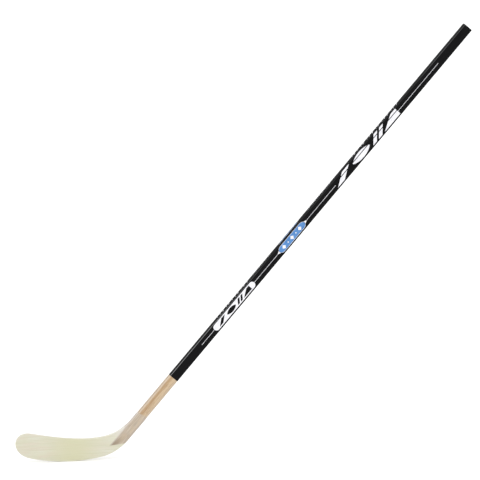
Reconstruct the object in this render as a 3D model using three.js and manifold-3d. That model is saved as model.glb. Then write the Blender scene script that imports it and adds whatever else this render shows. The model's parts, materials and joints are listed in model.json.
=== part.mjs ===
// Ice hockey stick of the traditional laminated wooden kind, in millimetres, +Z up.
//
// The stick stands in its own XZ plane: the toe points to -X, the shaft rises towards +X, the forehand
// face looks to -Y, and the origin is on the lowest facet of the blade's bottom edge, where it meets the ice.
// Inside a shaft glued up from plies is a slot that takes the tongue of the blade plank. The two cheeks left
// beside the tongue are sanded down to a feathered end, and glass cloth and a glass sock cover it all.

import * as THREE from 'three';
import { mergeVertices } from 'three/addons/utils/BufferGeometryUtils.js';
import Module from 'manifold-3d';

const wasm = await Module();
wasm.setup();

// ---------------------------------------------------------------- driving dimensions

const SHAFT_RISE = THREE.MathUtils.degToRad(49.15); // angle of the shaft above the ice
const SHAFT_FOOT_X = 100; // where the shaft's centre line meets the ice
const SHAFT_REACH = 1586; // from that point to the end of the wood, along the centre line

const SHAFT_WIDTH = 28.5; // bare wood, across the wide face
const SHAFT_DEPTH = 19.4; // bare wood, across the narrow face
const SHAFT_CORNER = 3.75; // corner radius of the bare wood

const CORE_PLIES = 5; // aspen plies in the middle of the stack
const CORE_PLY = 2.7;
const BIRCH_PLY = 2.4; // one outside the aspen on each side, and then a thin glass facing

const COAT = 0.2; // black lacquer, on the shaft's sides and its end
const COAT_GAP = 0.05;
const COAT_END = 300; // where the lacquer stops, above the heel
const BUTT_CHAMFER = 1.5; // round the end of the shaft

const SLOT_PLIES = 3; // middle plies that stop at the root of the slot
const SLOT_ROOT = 135; // distance of the slot's root from the ice, along the shaft
const CHEEK_CUT = 57.5; // where the cheeks end, on the shaft's centre line
const CHEEK_CUT_SLOPE = 1.1; // the cut runs almost level: this much along the shaft per unit across it
const CHEEK_TIP = 4.7; // half depth left at the feathered end of the cheeks
const CHEEK_TAPER = 110; // length of the sanded slope above the cut
const GLASS_END = 166; // where the glass sock stops on the shaft's centre line
const GLASS_END_SLOPE = 0.24; // its end slants, and stands higher on the heel side

const TOE_X = -153.5;
const TOE_Z = 57;
const TOE_TOP = new THREE.Vector2(-110, 84.5);
const TOE_TOP_SLOPE = THREE.MathUtils.degToRad(-12);
const ROCKER_RADIUS = 450; // the bottom edge rocks on this radius
const HEEL_RADIUS = 132;
const THROAT_RADIUS = 140; // the inner curve between the blade's top edge and the shaft
const THROAT_TOP = 137.5; // where the throat runs into the shaft's edge, along the shaft
const THROAT_START = THREE.MathUtils.degToRad(9);

const CURVE_START_X = 36; // the blade is flat behind this and curves forwards ahead of it
const CURVE_DEPTH = 13; // how far the toe stands forwards

const PLANK_HALF_TOE = 1.7; // half thickness of the blade plank
const PLANK_HALF_HEEL = 3.9;
const PLANK_FULL_X = 106; // the plank has its full thickness behind this
const PLANK_TAPER = 1.5; // power of the taper from there to the toe
const STRIP_JOINTS = [0, 0.36, 0.68, 1]; // edge-glued strips of the plank, as shares of its height

const LAYER_GAP = 0.12; // resin between one layer and the next
const CLOTH = 0.3; // glass cloth on the two faces
const SOCK = 0.45; // woven glass sock round everything
const SOCK_EDGE = 0.36; // edge radius of the sock, as a share of its half depth there
const BLEND = 12; // width of the resin fillet beside the cheeks

const ROCKER_STEP = THREE.MathUtils.degToRad(1.5); // angle of one facet of the bottom edge
const ROCKER_TOE_STEPS = 9.5; // facets from the lowest point to the toe
const TOE_STATIONS = [0.1, 0.25, 0.4, 0.55, 0.7, 0.85];
const HEEL_INTERVALS = 12;
const ACROSS = 8; // facets across a face
const CORNER_STEPS = 3; // facets round an edge of the blade
const SHAFT_CORNER_STEPS = 4; // and round an edge of the shaft

// ---------------------------------------------------------------- where things are in the XZ plane

const UP_SHAFT = new THREE.Vector2(Math.cos(SHAFT_RISE), Math.sin(SHAFT_RISE));
const TO_THROAT = new THREE.Vector2(-Math.sin(SHAFT_RISE), Math.cos(SHAFT_RISE));
const FOOT = new THREE.Vector2(SHAFT_FOOT_X, 0);
const HALF_WIDTH = SHAFT_WIDTH / 2;
const HALF_DEPTH = SHAFT_DEPTH / 2;

// A point given by its distance up the shaft and its distance across it, towards the throat.
function onShaft(along, across) {
  return FOOT.clone().addScaledVector(UP_SHAFT, along).addScaledVector(TO_THROAT, across);
}

function shaftCoordinates(x, z) {
  const offset = new THREE.Vector2(x, z).sub(FOOT);
  return { along: offset.dot(UP_SHAFT), across: offset.dot(TO_THROAT) };
}

// Distance above the slanting line where the cheeks end.
function aboveCut(along, across) {
  return along - (CHEEK_CUT - CHEEK_CUT_SLOPE * across);
}

// Half depth of the sanded shaft, at a distance above the cut.
function sandedHalfDepth(above) {
  const share = THREE.MathUtils.clamp(above / CHEEK_TAPER, 0, 1);
  return THREE.MathUtils.lerp(CHEEK_TIP, HALF_DEPTH, share);
}

// How far the blade is bent towards -Y.
function bend(x) {
  const ahead = Math.max(0, CURVE_START_X - x) / (CURVE_START_X - TOE_X);
  return -CURVE_DEPTH * ahead * ahead;
}

function plankHalf(x) {
  const share = THREE.MathUtils.clamp((x - TOE_X) / (PLANK_FULL_X - TOE_X), 0, 1);
  return THREE.MathUtils.lerp(PLANK_HALF_TOE, PLANK_HALF_HEEL, share ** PLANK_TAPER);
}

// Half depth of the wood under the glass: the plank, and the cheeks with a resin fillet round them.
function woodHalf(x, z) {
  const { along, across } = shaftCoordinates(x, z);
  const above = aboveCut(along, across);
  const outside = Math.max(0, across - HALF_WIDTH) + Math.max(0, -above - LAYER_GAP);
  const share = 1 - THREE.MathUtils.smoothstep(outside, 0, BLEND);
  const cheek = sandedHalfDepth(above);
  return THREE.MathUtils.lerp(plankHalf(x), Math.max(cheek, plankHalf(x)), share);
}

// ---------------------------------------------------------------- outline of the blade and heel

// The outline is the sock's outer edge, which runs just outside the shaft's wood.
const OUTSIDE = HALF_WIDTH + LAYER_GAP + SOCK;
const QUARTER_TURN = Math.PI / 2;

function arc(centre, radius, from, to) {
  return new THREE.EllipseCurve(centre.x, centre.y, radius, radius, from - QUARTER_TURN, to - QUARTER_TURN);
}

function bezier(start, startAngle, startReach, end, endAngle, endReach) {
  const first = new THREE.Vector2(Math.cos(startAngle), Math.sin(startAngle));
  const last = new THREE.Vector2(Math.cos(endAngle), Math.sin(endAngle));
  return new THREE.CubicBezierCurve(
    start,
    start.clone().addScaledVector(first, startReach),
    end.clone().addScaledVector(last, -endReach),
    end,
  );
}

function chain(...curves) {
  const path = new THREE.CurvePath();
  curves.forEach((curve) => path.add(curve));
  return path;
}

const TOE = new THREE.Vector2(TOE_X, TOE_Z);

// Bottom edge: toe, rocker and heel, and then the shaft. The heel's arc touches the rocker and the shaft.
const rockerSink = ROCKER_RADIUS * (1 - Math.cos(ROCKER_STEP / 2)); // puts the lowest facet at z = 0
const rockerCentre = new THREE.Vector2(0, ROCKER_RADIUS - rockerSink);
const rockerToShaft = rockerCentre.clone().sub(onShaft(0, -OUTSIDE)).dot(TO_THROAT);
const heelTurn = Math.acos((rockerToShaft - HEEL_RADIUS) / (ROCKER_RADIUS - HEEL_RADIUS));
const heelStart = SHAFT_RISE - heelTurn;
const rockerStart = -ROCKER_TOE_STEPS * ROCKER_STEP;
const heelCentre = rockerCentre.clone().addScaledVector(
  new THREE.Vector2(Math.sin(heelStart), -Math.cos(heelStart)),
  ROCKER_RADIUS - HEEL_RADIUS,
);
const heelEnd = heelCentre.clone().addScaledVector(TO_THROAT, -HEEL_RADIUS);
const rocker = arc(rockerCentre, ROCKER_RADIUS, rockerStart, heelStart);
const toeBottom = bezier(TOE, -QUARTER_TURN, 20, rocker.getPoint(0), rockerStart, 26);
const heel = chain(
  arc(heelCentre, HEEL_RADIUS, heelStart, SHAFT_RISE),
  new THREE.LineCurve(heelEnd, onShaft(THROAT_TOP, -OUTSIDE)),
);

// Top edge: toe, blade and throat, and then the shaft.
const throatCentre = onShaft(THROAT_TOP, OUTSIDE + THROAT_RADIUS);
const throat = arc(throatCentre, THROAT_RADIUS, THROAT_START, SHAFT_RISE);
const toeTop = bezier(TOE, QUARTER_TURN, 20, TOE_TOP, TOE_TOP_SLOPE, 25);
const bladeTop = bezier(TOE_TOP, TOE_TOP_SLOPE, 78, throat.getPoint(0), THROAT_START, 62);

// The stretches of the two edges, side by side, with the shares of each at which ribs stand.
const rockerShares = [0];
for (let angle = rockerStart + ROCKER_STEP; angle < heelStart - ROCKER_STEP / 2; angle += ROCKER_STEP) {
  rockerShares.push((angle - rockerStart) / (heelStart - rockerStart));
}
const bladeShares = rockerShares.map((_, i) => i / rockerShares.length);
const heelShares = Array.from({ length: HEEL_INTERVALS + 1 }, (_, i) => i / HEEL_INTERVALS);
const neck = (across) => new THREE.LineCurve(
  onShaft(THROAT_TOP, across),
  onShaft(GLASS_END - GLASS_END_SLOPE * across, across),
);
const bottomStretches = [
  [toeBottom, TOE_STATIONS],
  [rocker, rockerShares],
  [heel, heelShares],
  [neck(-OUTSIDE), [1]],
];
const topStretches = [
  [toeTop, TOE_STATIONS],
  [bladeTop, bladeShares],
  [throat, heelShares],
  [neck(OUTSIDE), [1]],
];

// Points along an edge, each with the direction that leads into the material.
function edgePoints(stretches, side) {
  return stretches.flatMap(([curve, shares]) => shares.map((share) => {
    const tangent = curve.getTangent(share);
    const inward = new THREE.Vector2(-tangent.y, tangent.x).multiplyScalar(side);
    return { point: curve.getPoint(share), inward };
  }));
}

const bottomEdge = edgePoints(bottomStretches, 1);
const topEdge = edgePoints(topStretches, -1);
const ribCount = bottomEdge.length;
const throatRib = ribCount - 2; // the rib at the top of the throat, square to the shaft

// Ribs from the toe to the end of the glass, each from the bottom edge to the top edge, set in by a distance.
function ribs(inset) {
  return bottomEdge.map((low, i) => {
    const high = topEdge[i];
    const from = low.point.clone().addScaledVector(low.inward, inset);
    const to = high.point.clone().addScaledVector(high.inward, inset);
    const length = from.distanceTo(to);
    return { length, at: (distance) => from.clone().lerp(to, distance / length) };
  });
}

// ---------------------------------------------------------------- solids

// A closed solid through rings of equal length, each of which runs clockwise seen from the ring before it.
function loft(rings) {
  const body = skin(rings);
  addCap(body, rings.at(-1), (rings.length - 1) * rings[0].length, false);
  return toGeometry(body);
}

// A shell between outer and inner rings, closed at the first ring and open at the last.
function sleeve(outer, inner) {
  const body = skin(outer);
  const lining = skin(inner);
  const count = outer[0].length;
  const base = body.positions.length / 3;
  body.positions.push(...lining.positions);
  body.index.push(...lining.index.map((vertex) => vertex + base).toReversed());
  const outerRim = (outer.length - 1) * count;
  const innerRim = base + outerRim;
  for (let j = 0; j < count; j += 1) {
    const next = (j + 1) % count;
    body.index.push(outerRim + j, outerRim + next, innerRim + next);
    body.index.push(outerRim + j, innerRim + next, innerRim + j);
  }
  return toGeometry(body);
}

// The walls through the rings, and the cap on the first of them.
function skin(rings) {
  const count = rings[0].length;
  const body = { positions: rings.flat().flatMap((p) => [p.x, p.y, p.z]), index: [] };
  for (let i = 0; i + 1 < rings.length; i += 1) {
    for (let j = 0; j < count; j += 1) {
      const a = i * count + j;
      const b = i * count + ((j + 1) % count);
      body.index.push(a, b, b + count);
      body.index.push(a, b + count, a + count);
    }
  }
  addCap(body, rings[0], 0, true);
  return body;
}

function addCap(body, ring, base, atStart) {
  const centre = ring.reduce((sum, p) => sum.add(p), new THREE.Vector3()).divideScalar(ring.length);
  const hub = body.positions.length / 3;
  body.positions.push(centre.x, centre.y, centre.z);
  for (let j = 0; j < ring.length; j += 1) {
    const next = (j + 1) % ring.length;
    body.index.push(hub, atStart ? base + next : base + j, atStart ? base + j : base + next);
  }
}

function toGeometry({ positions, index }) {
  const geometry = new THREE.BufferGeometry();
  geometry.setAttribute('position', new THREE.Float32BufferAttribute(positions, 3));
  geometry.setIndex(index);
  geometry.computeVertexNormals();
  return geometry;
}

function toManifold(geometry) {
  const bare = geometry.clone();
  bare.deleteAttribute('normal');
  bare.deleteAttribute('uv');
  const merged = mergeVertices(bare);
  const vertProperties = Float32Array.from(merged.attributes.position.array);
  const triVerts = Uint32Array.from(merged.index.array);
  return new wasm.Manifold(new wasm.Mesh({ numProp: 3, vertProperties, triVerts }));
}

function fromManifold(solid) {
  const { vertProperties, triVerts } = solid.getMesh();
  return toGeometry({ positions: Array.from(vertProperties), index: Array.from(triVerts) });
}

// ---------------------------------------------------------------- rings round the blade

function bent(point, y) {
  return new THREE.Vector3(point.x, bend(point.x) + y, point.y);
}

// A ring round a whole rib with rounded edges, the half depth being read at each point of the faces.
function roundedRing(rib, halfDepth, lowRadius, highRadius) {
  const halfAt = (distance) => halfDepth(rib.at(distance));
  const corner = (distance, radius, side) => Array.from({ length: CORNER_STEPS }, (_, k) => {
    const angle = (k / CORNER_STEPS) * QUARTER_TURN;
    return {
      distance: distance + side * radius * Math.cos(angle),
      half: halfAt(distance) - radius * (1 - Math.sin(angle)),
    };
  });
  const face = Array.from({ length: ACROSS + 1 }, (_, k) => {
    const distance = THREE.MathUtils.lerp(lowRadius, rib.length - highRadius, k / ACROSS);
    return { distance, half: halfAt(distance) };
  });
  const upwards = [
    ...corner(lowRadius, lowRadius, -1),
    ...face,
    ...corner(rib.length - highRadius, highRadius, 1).toReversed(),
  ];
  return [
    ...upwards.toReversed().map(({ distance, half }) => bent(rib.at(distance), -half)),
    ...upwards.map(({ distance, half }) => bent(rib.at(distance), half)),
  ];
}

// A ring with square edges round part of a rib, between two depths.
function squareRing(rib, from, to, facets, nearDepth, farDepth) {
  const points = Array.from(
    { length: facets + 1 },
    (_, k) => rib.at(THREE.MathUtils.lerp(from, to, k / facets)),
  );
  return [
    ...points.toReversed().map((point) => bent(point, nearDepth(point))),
    ...points.map((point) => bent(point, farDepth(point))),
  ];
}

const clothInner = (point) => woodHalf(point.x, point.y) + LAYER_GAP;
const clothOuter = (point) => clothInner(point) + CLOTH;
const sockInner = (point) => clothOuter(point) + LAYER_GAP;
const sockOuter = (point) => sockInner(point) + SOCK;

// Edge radii at the two ends of a rib, for a surface that lies inside the sock's by a distance.
function edgeRadii(rib, inside) {
  return [0, rib.length].map((distance) => SOCK_EDGE * sockOuter(rib.at(distance)) - inside);
}

function glassSock() {
  const outer = ribs(0).map((rib) => roundedRing(rib, sockOuter, ...edgeRadii(rib, 0)));
  const inner = ribs(SOCK).map((rib) => roundedRing(rib, sockInner, ...edgeRadii(rib, SOCK)));
  return sleeve(outer, inner);
}

// Cloth on one face, from the toe to the top of the throat. Side -1 is the forehand face.
function glassCloth(side) {
  const depths = [clothInner, clothOuter].map((depth) => (point) => side * depth(point));
  const [near, far] = side < 0 ? depths.toReversed() : depths;
  const rings = ribs(SOCK + 2 * LAYER_GAP).slice(0, throatRib + 1).map((rib) => {
    const [low, high] = edgeRadii(rib, SOCK);
    return squareRing(rib, low, rib.length - high, ACROSS, near, far);
  });
  return loft(rings);
}

// One edge-glued strip of the plank, with its share of the tongue.
function plankStrip(fromShare, toShare) {
  const half = (point) => plankHalf(point.x);
  const rings = ribs(SOCK + 4 * LAYER_GAP).slice(0, throatRib + 1).map((rib) => {
    const from = fromShare * rib.length + (fromShare > 0 ? LAYER_GAP / 2 : 0);
    const to = toShare * rib.length - (toShare < 1 ? LAYER_GAP / 2 : 0);
    return squareRing(rib, from, to, 3, (point) => -half(point), half);
  });
  const aboveSlot = new THREE.BoxGeometry(SHAFT_WIDTH, SHAFT_WIDTH, 2 * SHAFT_WIDTH);
  aboveSlot.rotateY(-SHAFT_RISE);
  const middle = onShaft(SLOT_ROOT - LAYER_GAP + SHAFT_WIDTH / 2, 0);
  aboveSlot.translate(middle.x, 0, middle.y);
  return fromManifold(toManifold(loft(rings)).subtract(toManifold(aboveSlot)));
}

// ---------------------------------------------------------------- shaft, along its own X axis

function roundedRectangle(halfWidth, halfDepth, radius) {
  const shape = new THREE.Shape();
  [[1, 1], [-1, 1], [-1, -1], [1, -1]].forEach(([sideX, sideY], k) => {
    const from = k * QUARTER_TURN;
    const middleX = sideX * (halfWidth - radius);
    const middleY = sideY * (halfDepth - radius);
    shape.absarc(middleX, middleY, radius, from, from + QUARTER_TURN);
  });
  return shape.getPoints(SHAFT_CORNER_STEPS / 2);
}

// A ring round the shaft. The distance along the shaft may depend on the place across it.
function shaftRing(alongAt, outset, halfDepth) {
  return roundedRectangle(HALF_WIDTH + outset, halfDepth + outset, SHAFT_CORNER + outset)
    .map(({ x: across, y }) => new THREE.Vector3(alongAt(across), y, across))
    .toReversed();
}

// The chamfered end of the shaft, for a surface that lies outside the wood by a distance.
function buttRings(outset) {
  return [
    shaftRing(() => SHAFT_REACH + outset - BUTT_CHAMFER, outset, HALF_DEPTH),
    shaftRing(() => SHAFT_REACH + outset, outset - BUTT_CHAMFER, HALF_DEPTH),
  ];
}

// The shaft as one form, sanded down towards the cut at its foot, before it is divided into its plies.
function shaftForm() {
  const cut = (across) => CHEEK_CUT - CHEEK_CUT_SLOPE * across;
  return toManifold(loft([
    shaftRing(cut, 0, CHEEK_TIP),
    shaftRing((across) => cut(across) + CHEEK_TAPER, 0, HALF_DEPTH),
    ...buttRings(0),
  ]));
}

// One layer of the stack, between two depths, from a distance up the shaft to its end.
function shaftLayer(form, start, fromY, toY) {
  const length = SHAFT_REACH + SHAFT_WIDTH - start;
  const box = new THREE.BoxGeometry(length, toY - fromY, 2 * SHAFT_WIDTH);
  box.translate(start + length / 2, (fromY + toY) / 2, 0);
  return fromManifold(form.intersect(toManifold(box)));
}

function lacquerCoat() {
  const tube = (start, outset) => toManifold(loft([
    shaftRing(() => start, outset, HALF_DEPTH),
    ...buttRings(outset),
  ]));
  return fromManifold(tube(COAT_END, COAT_GAP + COAT).subtract(tube(0, COAT_GAP)));
}

// ---------------------------------------------------------------- assembly

const FINISHES = {
  aspen: { color: 0xd9c49a, roughness: 0.6 },
  birch: { color: 0xcfae7a, roughness: 0.5 },
  ash: { color: 0xdccca6, roughness: 0.6 },
  glassFacing: { color: 0xd8cfae, roughness: 0.35 },
  glassCloth: { color: 0xdcdcc2, roughness: 0.4 },
  glassSock: { color: 0xdedcc4, roughness: 0.3 },
  lacquer: { color: 0x1b1b1c, roughness: 0.3 },
};

function part(name, geometry, finish) {
  const material = new THREE.MeshStandardMaterial({ metalness: 0, ...FINISHES[finish] });
  const mesh = new THREE.Mesh(geometry, material);
  mesh.name = name;
  return mesh;
}

const coreHalf = (CORE_PLIES * CORE_PLY) / 2;
const birchOuter = coreHalf + BIRCH_PLY;
const slotFirst = (CORE_PLIES - SLOT_PLIES) / 2;

const shaft = new THREE.Group();
shaft.position.set(SHAFT_FOOT_X, 0, 0);
shaft.rotation.y = -SHAFT_RISE;
const form = shaftForm();
for (let ply = 0; ply < CORE_PLIES; ply += 1) {
  const fromY = -coreHalf + ply * CORE_PLY;
  const overTongue = ply >= slotFirst && ply < slotFirst + SLOT_PLIES;
  const start = overTongue ? SLOT_ROOT : 0;
  shaft.add(part(`shaft_core_ply_${ply + 1}`, shaftLayer(form, start, fromY, fromY + CORE_PLY), 'aspen'));
}
shaft.add(
  part('shaft_birch_ply_front', shaftLayer(form, 0, -birchOuter, -coreHalf), 'birch'),
  part('shaft_birch_ply_back', shaftLayer(form, 0, coreHalf, birchOuter), 'birch'),
  part('shaft_glass_facing_front', shaftLayer(form, 0, -HALF_DEPTH, -birchOuter), 'glassFacing'),
  part('shaft_glass_facing_back', shaftLayer(form, 0, birchOuter, HALF_DEPTH), 'glassFacing'),
  part('black_lacquer_coat', lacquerCoat(), 'lacquer'),
);

const blade = new THREE.Group();
['bottom', 'middle', 'top'].forEach((place, i) => {
  blade.add(part(`blade_plank_${place}_strip`, plankStrip(STRIP_JOINTS[i], STRIP_JOINTS[i + 1]), 'ash'));
});
blade.add(
  part('blade_glass_cloth_front', glassCloth(-1), 'glassCloth'),
  part('blade_glass_cloth_back', glassCloth(1), 'glassCloth'),
  part('blade_glass_sock', glassSock(), 'glassSock'),
);

const stick = new THREE.Group();
stick.add(shaft, blade);

export default stick;
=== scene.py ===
import json
import math

import bmesh
import bpy
import numpy as np
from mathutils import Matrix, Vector


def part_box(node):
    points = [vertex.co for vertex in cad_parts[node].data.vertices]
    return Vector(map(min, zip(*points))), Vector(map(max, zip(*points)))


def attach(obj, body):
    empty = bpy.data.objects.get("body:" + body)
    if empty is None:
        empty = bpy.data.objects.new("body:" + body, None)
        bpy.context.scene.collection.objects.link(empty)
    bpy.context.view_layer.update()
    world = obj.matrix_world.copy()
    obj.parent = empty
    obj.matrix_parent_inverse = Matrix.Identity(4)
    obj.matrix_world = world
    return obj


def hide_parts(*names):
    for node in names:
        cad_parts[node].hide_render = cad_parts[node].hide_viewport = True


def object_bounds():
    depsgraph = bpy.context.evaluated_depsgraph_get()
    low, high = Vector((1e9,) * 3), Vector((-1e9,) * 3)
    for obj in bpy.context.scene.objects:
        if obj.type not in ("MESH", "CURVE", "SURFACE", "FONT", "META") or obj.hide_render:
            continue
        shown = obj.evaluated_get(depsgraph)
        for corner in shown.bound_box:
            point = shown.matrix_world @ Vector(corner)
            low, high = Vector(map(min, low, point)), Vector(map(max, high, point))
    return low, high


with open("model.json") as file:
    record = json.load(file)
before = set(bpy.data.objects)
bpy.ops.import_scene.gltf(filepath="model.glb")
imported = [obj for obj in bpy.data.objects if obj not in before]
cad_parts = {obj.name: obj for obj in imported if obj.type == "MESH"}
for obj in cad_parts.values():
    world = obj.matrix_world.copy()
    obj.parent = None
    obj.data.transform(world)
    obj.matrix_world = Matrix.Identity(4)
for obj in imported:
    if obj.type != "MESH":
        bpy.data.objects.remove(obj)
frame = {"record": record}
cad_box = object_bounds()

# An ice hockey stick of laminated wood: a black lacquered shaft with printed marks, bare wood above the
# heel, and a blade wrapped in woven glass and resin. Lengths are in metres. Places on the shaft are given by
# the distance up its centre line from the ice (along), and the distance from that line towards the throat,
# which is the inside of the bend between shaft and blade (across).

MM = 0.001
QUARTER_TURN = math.pi / 2

# ---------------------------------------------------------------- camera

# The view is near parallel, from the front, a little to the left and a little above.
VIEW_AZIMUTH = math.radians(-10.7)
VIEW_ELEVATION = math.radians(9.07)
VIEW_DISTANCE = 11.2
VIEW_WIDTH = 1.344  # what the picture spans at that distance
VIEW_OFFSET = Vector((-0.01, 0.0, 0.0087))  # from the box's middle to the picture's middle


def add_camera():
    camera = bpy.data.objects.new("camera", bpy.data.cameras.new("camera"))
    bpy.context.scene.collection.objects.link(camera)
    backwards = Vector((
        math.sin(VIEW_AZIMUTH) * math.cos(VIEW_ELEVATION),
        -math.cos(VIEW_AZIMUTH) * math.cos(VIEW_ELEVATION),
        math.sin(VIEW_ELEVATION),
    ))
    middle = (cad_box[0] + cad_box[1]) / 2
    middle.y = 0
    camera.location = middle + VIEW_OFFSET + backwards * VIEW_DISTANCE
    camera.rotation_mode = "QUATERNION"
    camera.rotation_quaternion = (-backwards).to_track_quat("-Z", "Y")
    camera.data.lens = camera.data.sensor_width * VIEW_DISTANCE / VIEW_WIDTH
    bpy.context.scene.camera = camera


add_camera()

# ---------------------------------------------------------------- driving dimensions

MOUNTS = {mount["name"]: mount for mount in frame["record"]["mounts"]}
BUTT = Vector(MOUNTS["butt_face"]["pos_m"])
BUTT_AXIS = Vector(MOUNTS["butt_face"]["axis"])
RISE = math.atan2(BUTT_AXIS.z, BUTT_AXIS.x)  # angle of the shaft above the ice
SHAFT_END = BUTT.z / math.sin(RISE)  # outside of the lacquered end, up the centre line
FOOT = np.array([BUTT.x - SHAFT_END * math.cos(RISE), 0.0])  # where the centre line meets the ice
UP_SHAFT = np.array([math.cos(RISE), math.sin(RISE)])
TO_THROAT = np.array([-math.sin(RISE), math.cos(RISE)])

COAT = 0.2 * MM  # thickness of the lacquer
COAT_GAP = 0.05 * MM
COAT_END = 300 * MM  # the coat ends square here, above bare wood
COAT_DEPTH = MOUNTS["wide_face_back"]["pos_m"][1]  # half depth over the lacquer
HALF_DEPTH = COAT_DEPTH - COAT - COAT_GAP  # bare wood, across the narrow face
HALF_WIDTH = 14.25 * MM
COAT_WIDTH = HALF_WIDTH + COAT + COAT_GAP
SHAFT_CORNER = 3.75 * MM  # corner radius of the bare wood
WOOD_END = SHAFT_END - COAT - COAT_GAP
BUTT_CHAMFER = 1.5 * MM

CORE_PLY = 2.7 * MM
CORE_PLIES = 5
BIRCH_PLY = 2.4 * MM
SLOT_PLIES = (2, 3, 4)  # these core plies stop at the slot's root
SLOT_ROOT = 135 * MM
CHEEK_CUT = 57.5 * MM  # the cheeks' slanting cut crosses the centre line here
CHEEK_CUT_SLOPE = 1.1
CHEEK_TIP = 4.7 * MM  # half depth of the wood at that cut
CHEEK_TAPER = 110 * MM  # over this length above the cut the wood reaches its full depth
GLASS_END = 166 * MM  # the sock's slanting end crosses the centre line here
GLASS_END_SLOPE = 0.24
GLASS_FEATHER = 9 * MM  # over this length the sock thins out onto the shaft

BLADE_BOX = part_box("blade_glass_sock")
TOE = np.array([BLADE_BOX[0].x, 57 * MM])
TOE_TOP = np.array([-110 * MM, 84.5 * MM])
TOE_TOP_SLOPE = math.radians(-12)
ROCKER_RADIUS = 450 * MM
ROCKER_START = math.radians(-14.25)
HEEL_RADIUS = 132 * MM
THROAT_RADIUS = 140 * MM
THROAT_TOP = 137.5 * MM  # the throat's arc ends here, and the straight neck starts
THROAT_START = math.radians(9)
CURVE_START = 36 * MM  # the blade bends forwards ahead of this
CURVE_DEPTH = 13 * MM
PLANK_TOE = -153.5 * MM  # the plank thickens from here, at the toe, to PLANK_FULL
PLANK_HALF_TOE = 1.7 * MM
PLANK_HALF_HEEL = 3.9 * MM
PLANK_FULL = 106 * MM
PLANK_TAPER = 1.5
LAYER_GAP = 0.12 * MM  # between neighbouring layers of the blade
CLOTH = 0.3 * MM
SOCK = 0.45 * MM
SOCK_IN = 2 * LAYER_GAP + CLOTH  # from the wood to the inside of the sock
SOCK_OUT = SOCK_IN + SOCK
SOCK_EDGE = 0.36  # radius of the sock's rounded edges, as a share of its half depth there
BLEND = 12 * MM  # width of the resin fillet round the cheeks
STRIP_JOINTS = (0, 0.36, 0.68, 1)  # where the plank's strips meet, from the bottom edge to the top edge

# ---------------------------------------------------------------- places and thicknesses


def unit(angle):
    return np.array([math.cos(angle), math.sin(angle)])


def on_shaft(along, across):
    return FOOT + np.multiply.outer(along, UP_SHAFT) + np.multiply.outer(across, TO_THROAT)


def smoothstep(value):
    share = np.clip(value, 0, 1)
    return share * share * (3 - 2 * share)


def lerp(low, high, share):
    return low + (high - low) * share


def above_cut(along, across):
    return along - (CHEEK_CUT - CHEEK_CUT_SLOPE * across)


def bend(x):
    """How far the blade is bent towards -Y."""
    ahead = np.clip(CURVE_START - x, 0, None) / (CURVE_START - PLANK_TOE)
    return -CURVE_DEPTH * ahead**2


def plank_half(points):
    share = np.clip((points[..., 0] - PLANK_TOE) / (PLANK_FULL - PLANK_TOE), 0, 1)
    return lerp(PLANK_HALF_TOE, PLANK_HALF_HEEL, share**PLANK_TAPER)


def wood_half(points):
    """Half depth under the glass: the plank, and the shaft's cheeks with a resin fillet round them."""
    along = (points - FOOT) @ UP_SHAFT
    across = (points - FOOT) @ TO_THROAT
    above = above_cut(along, across)
    outside = np.clip(across - HALF_WIDTH, 0, None) + np.clip(-above - LAYER_GAP, 0, None)
    cheek = lerp(CHEEK_TIP, HALF_DEPTH, np.clip(above / CHEEK_TAPER, 0, 1))
    plank = plank_half(points)
    return lerp(plank, np.maximum(cheek, plank), 1 - smoothstep(outside / BLEND))


# ---------------------------------------------------------------- outline of the blade and heel

OUTSIDE = HALF_WIDTH + LAYER_GAP + SOCK


def arc(centre, radius, start, end):
    def at(share):
        angle = lerp(start, end, share)
        tangent = np.stack([np.cos(angle), np.sin(angle)], -1)
        return centre + radius * np.stack([np.sin(angle), -np.cos(angle)], -1), tangent
    return at


def bezier(start, start_angle, start_reach, end, end_angle, end_reach):
    second = start + start_reach * unit(start_angle)
    third = end - end_reach * unit(end_angle)

    def at(share):
        t = np.asarray(share)[..., None]
        point = (1 - t)**3 * start + 3 * (1 - t)**2 * t * second + 3 * (1 - t) * t**2 * third + t**3 * end
        slope = (1 - t)**2 * (second - start) + 2 * (1 - t) * t * (third - second) + t**2 * (end - third)
        return point, slope / np.linalg.norm(slope, axis=-1, keepdims=True)
    return at


def line(start, end):
    tangent = (end - start) / np.linalg.norm(end - start)

    def at(share):
        t = np.asarray(share)[..., None]
        return lerp(start, end, t), np.broadcast_to(tangent, t.shape[:-1] + (2,))
    return at


def two_in_a_row(first, first_length, second, second_length):
    """One curve made of two, each taking its share of the length."""
    part = first_length / (first_length + second_length)

    def at(share):
        share = np.asarray(share)
        early, late = first(np.minimum(share / part, 1)), second(np.maximum((share - part) / (1 - part), 0))
        return tuple(np.where((share < part)[..., None], a, b) for a, b in zip(early, late))
    return at


rocker_centre = np.array([0, ROCKER_RADIUS])
rocker_to_shaft = (rocker_centre - on_shaft(0, -OUTSIDE)) @ TO_THROAT
heel_turn = math.acos((rocker_to_shaft - HEEL_RADIUS) / (ROCKER_RADIUS - HEEL_RADIUS))
heel_start = RISE - heel_turn
heel_centre = rocker_centre + (ROCKER_RADIUS - HEEL_RADIUS) * unit(heel_start - QUARTER_TURN)
heel_end = heel_centre - HEEL_RADIUS * TO_THROAT
heel_top = on_shaft(THROAT_TOP, -OUTSIDE)
rocker = arc(rocker_centre, ROCKER_RADIUS, ROCKER_START, heel_start)
toe_bottom = bezier(TOE, -QUARTER_TURN, 20 * MM, rocker(0.0)[0], ROCKER_START, 26 * MM)
heel = two_in_a_row(
    arc(heel_centre, HEEL_RADIUS, heel_start, RISE), HEEL_RADIUS * heel_turn,
    line(heel_end, heel_top), np.linalg.norm(heel_top - heel_end),
)
throat = arc(on_shaft(THROAT_TOP, OUTSIDE + THROAT_RADIUS), THROAT_RADIUS, THROAT_START, RISE)
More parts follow.
